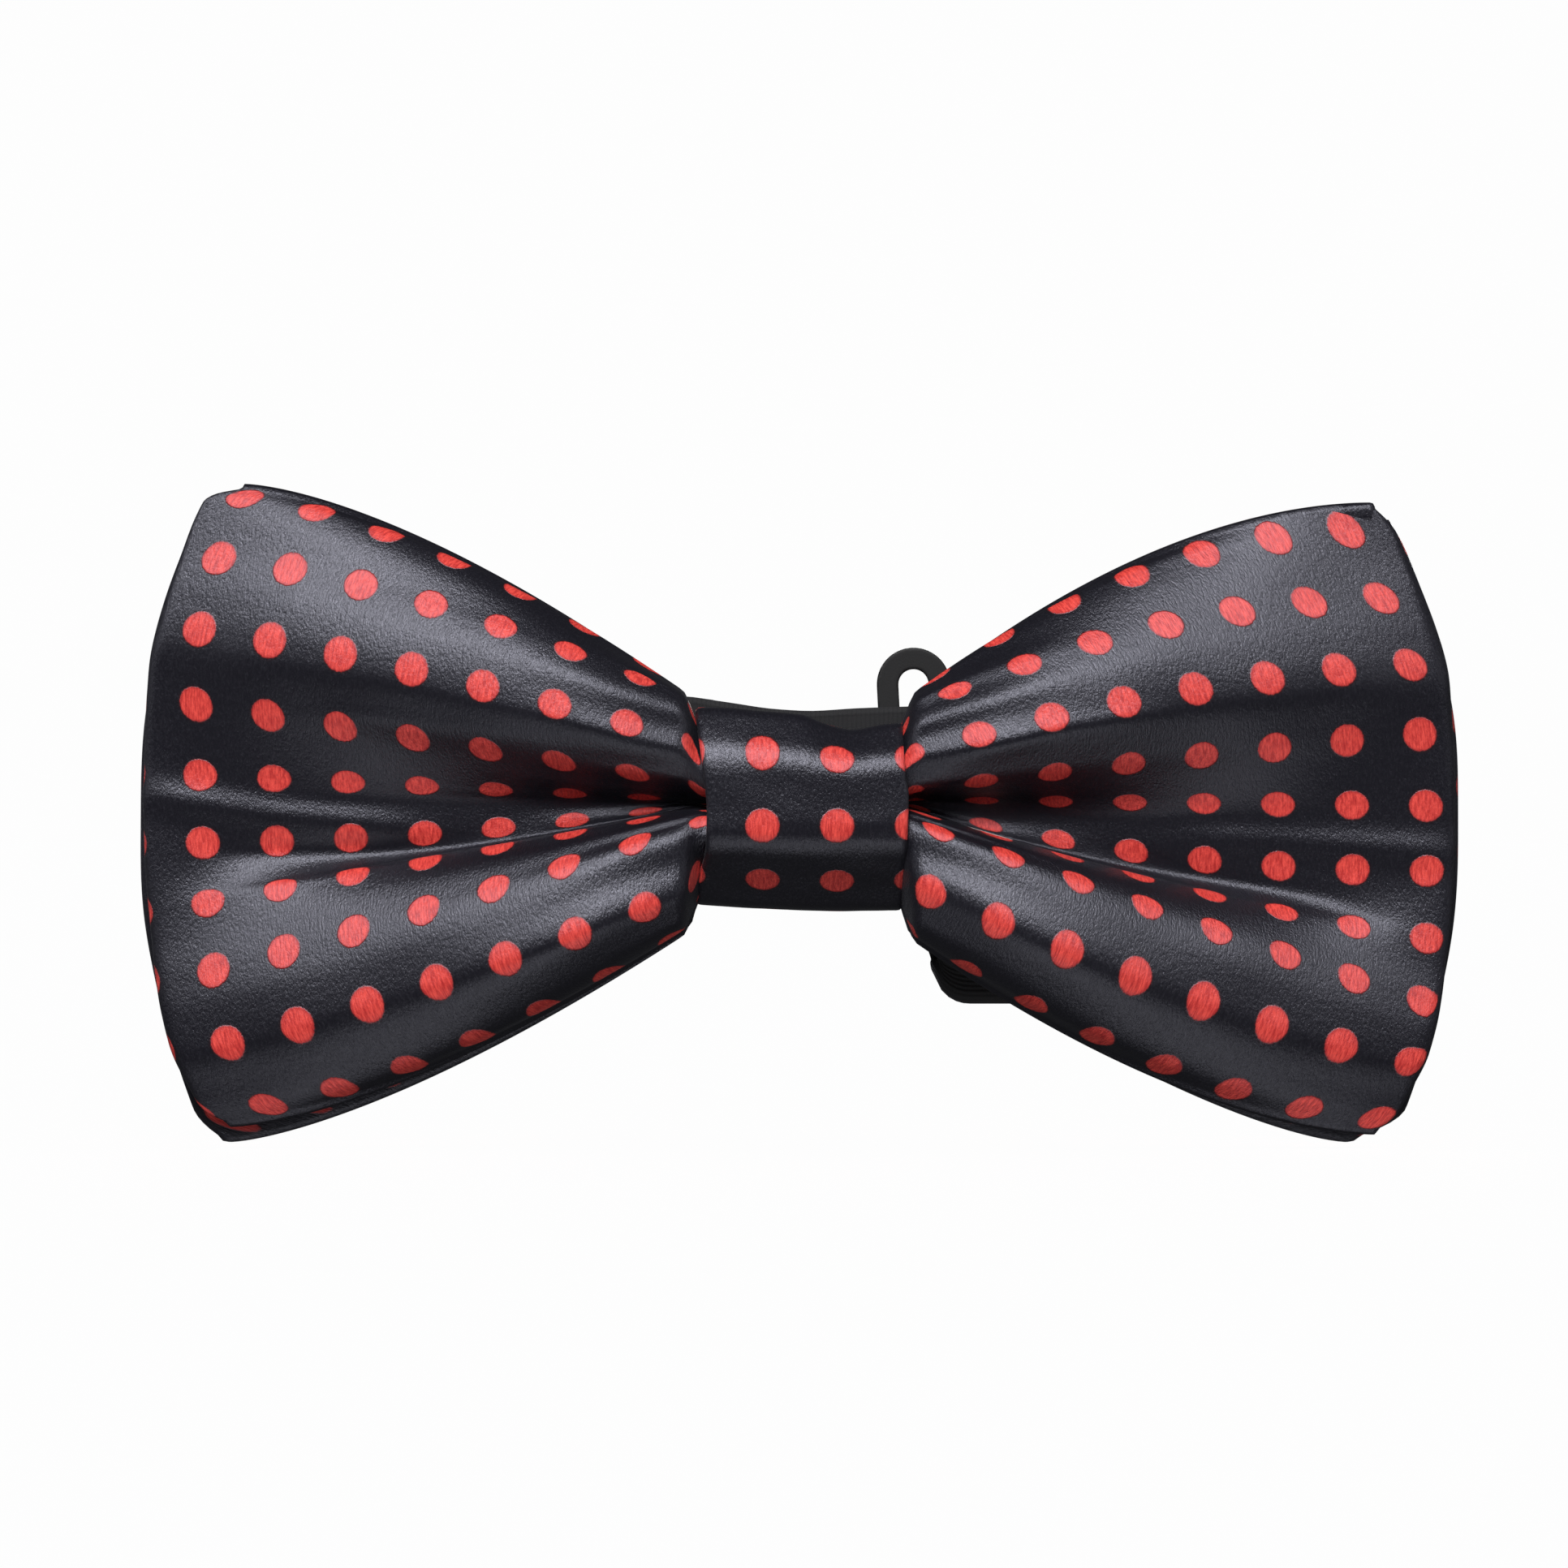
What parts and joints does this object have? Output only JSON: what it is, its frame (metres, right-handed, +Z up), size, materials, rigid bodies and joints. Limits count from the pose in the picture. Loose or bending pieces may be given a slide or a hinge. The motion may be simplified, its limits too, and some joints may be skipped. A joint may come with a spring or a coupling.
{
  "type": "bow tie",
  "caption": "Ready-tied satin bow tie with a polka-dot weave, a wrapped knot and an adjustable neck strap with a hook and eye, folded up behind the bow.",
  "frame": {"origin": "middle of the knot's back face, where it rests on the collar at the top button", "axes": "+Z up as worn, -Y to the front, +X to the viewer's right along the bow's width"},
  "size_m": [0.12, 0.0247, 0.0596],
  "materials": {
    "satin": "near-black satin with woven coral-red dots",
    "interlining": "plain white non-woven stiffener",
    "thread": "black sewing thread",
    "ribbon": "matte black ribbed ribbon",
    "hardware": "matte black moulded plastic"
  },
  "bodies": {
    "bow": {"front_bow": "satin", "front_bow_interlining": "interlining", "rear_bow": "satin", "rear_bow_interlining": "interlining", "centre_binding": "thread", "knot_wrap": "satin", "knot_interlining": "interlining", "knot_stitches": "thread", "neck_strap": "ribbon", "strap_return": "ribbon", "eye_tack_stitches": "thread"},
    "eye": {"eye_loop": "hardware"},
    "hook": {"hook": "hardware"},
    "adjuster": {"slide_adjuster": "hardware", "adjuster_end_loop": "ribbon", "adjuster_tack_stitches": "thread"}
  },
  "joints": [
    {"name": "eye_swing", "type": "hinge", "parent": "bow", "child": "eye", "pos_m": [0.011, 0.00355, 0.0042], "axis": [0.9986, 0, 0.0523], "range_deg": [-160, 8]},
    {"name": "hook_swing", "type": "hinge", "parent": "bow", "child": "hook", "pos_m": [-0.047, 0.00515, 0.0048], "axis": [0, 0, 1], "range_deg": [-120, 15]},
    {"name": "adjuster_slide", "type": "slide", "parent": "bow", "child": "adjuster", "axis": [-1, 0, 0], "range_m": [0, 0.019], "deforming": ["strap_return"]}
  ]
}
